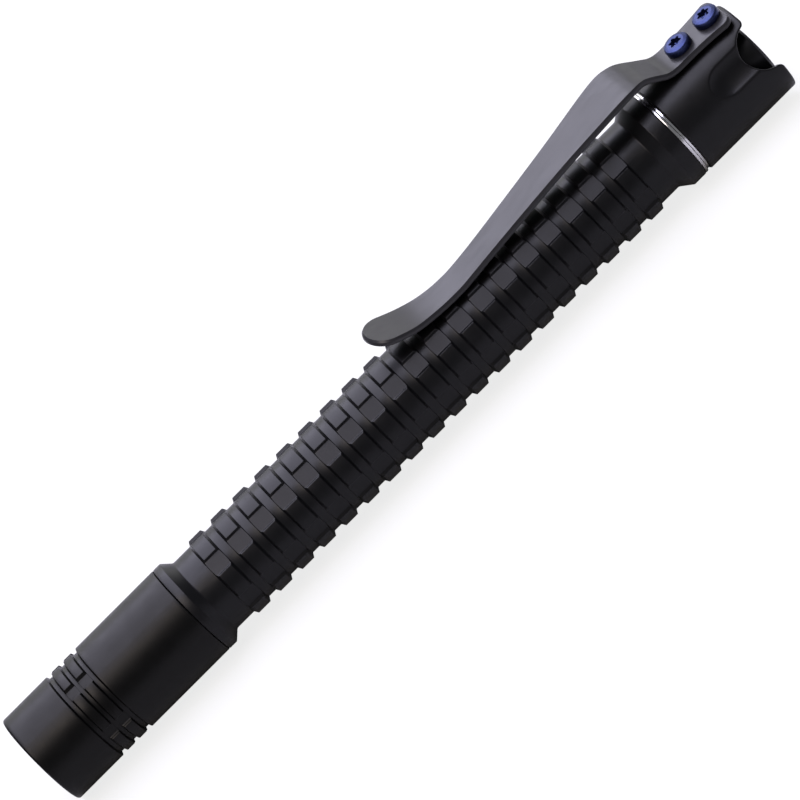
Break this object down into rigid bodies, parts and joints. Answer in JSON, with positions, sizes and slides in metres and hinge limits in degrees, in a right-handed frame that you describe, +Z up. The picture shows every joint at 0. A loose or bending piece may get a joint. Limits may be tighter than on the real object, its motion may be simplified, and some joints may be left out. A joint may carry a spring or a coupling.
{
  "type": "ultraviolet pen light for banknote checking",
  "caption": "Slim ribbed ultraviolet pen light for checking banknotes, with a screwed head, a pocket clip and a push button in a petalled tail cap.",
  "frame": {"origin": "on the surface that the pen lies on, under the middle of its length and its axis", "axes": "+X along the pen from the light end to the tail button, +Z up through the pocket clip, +Y to the right seen from the tail"},
  "size_m": [0.1388, 0.0152, 0.0197],
  "materials": {
    "black_anodised": "satin black hard anodised aluminium",
    "clip_metal": "bead-blasted grey, slightly darker along its edges",
    "blue_screw": "blue-violet anodised metal",
    "polished_steel": "polished",
    "spring_steel": "bright drawn wire",
    "rubber": "matt black",
    "filter_glass": "polished dark violet",
    "mirror": "vacuum-metallised, smooth",
    "brass": "turned",
    "copper": "copper core board, dull",
    "emitter": "ceramic base and clear dome",
    "circuit_board": "green solder mask",
    "cell_wrap": "plain shrink film",
    "black_plastic": "moulded"
  },
  "bodies": {
    "barrel": {"battery_tube": "black_anodised", "head_o_ring": "rubber", "tail_o_ring": "rubber", "cell_front": "cell_wrap", "cell_rear": "cell_wrap"},
    "light_engine": {"uv_emitter": "emitter", "emitter_board": "copper", "heat_sink": "brass", "driver_board": "circuit_board", "contact_spring": "spring_steel"},
    "head": {"head_shell": "black_anodised", "lens_o_ring": "rubber", "lens": "filter_glass", "reflector": "mirror"},
    "ring_carrier": {"steel_ring": "polished_steel"},
    "tail": {"tail_cap": "black_anodised", "pocket_clip": "clip_metal", "clip_screw_front": "blue_screw", "clip_screw_rear": "blue_screw", "switch_retaining_ring": "brass", "switch_board": "circuit_board", "tail_spring": "spring_steel", "switch_body": "black_plastic", "return_spring": "spring_steel"},
    "button": {"switch_button": "black_anodised", "button_o_ring": "rubber", "switch_plunger": "brass"}
  },
  "joints": [
    {"name": "head_travel", "type": "slide", "parent": "barrel", "child": "light_engine", "axis": [-1, 0, 0], "range_m": [0, 0.00281], "deforming": ["contact_spring"]},
    {"name": "head_turn", "type": "hinge", "parent": "light_engine", "child": "head", "pos_m": [0, 0, 0.0076], "axis": [-1, 0, 0], "range_deg": [0, 1350]},
    {"name": "tail_travel", "type": "slide", "parent": "barrel", "child": "ring_carrier", "axis": [1, 0, 0], "range_m": [0, 0.00281]},
    {"name": "tail_turn", "type": "hinge", "parent": "ring_carrier", "child": "tail", "pos_m": [0, 0, 0.0076], "axis": [1, 0, 0], "range_deg": [0, 1350]},
    {"name": "button_press", "type": "slide", "parent": "tail", "child": "button", "axis": [-1, 0, 0], "range_m": [0, 0.001], "stiffness_N_per_m": 800, "springref_m": -0.0015, "deforming": ["return_spring"]}
  ],
  "couplings": [
    {"joint": "head_turn", "follows": "head_travel", "rad_per_m": 8377.6},
    {"joint": "tail_turn", "follows": "tail_travel", "rad_per_m": 8377.6}
  ]
}
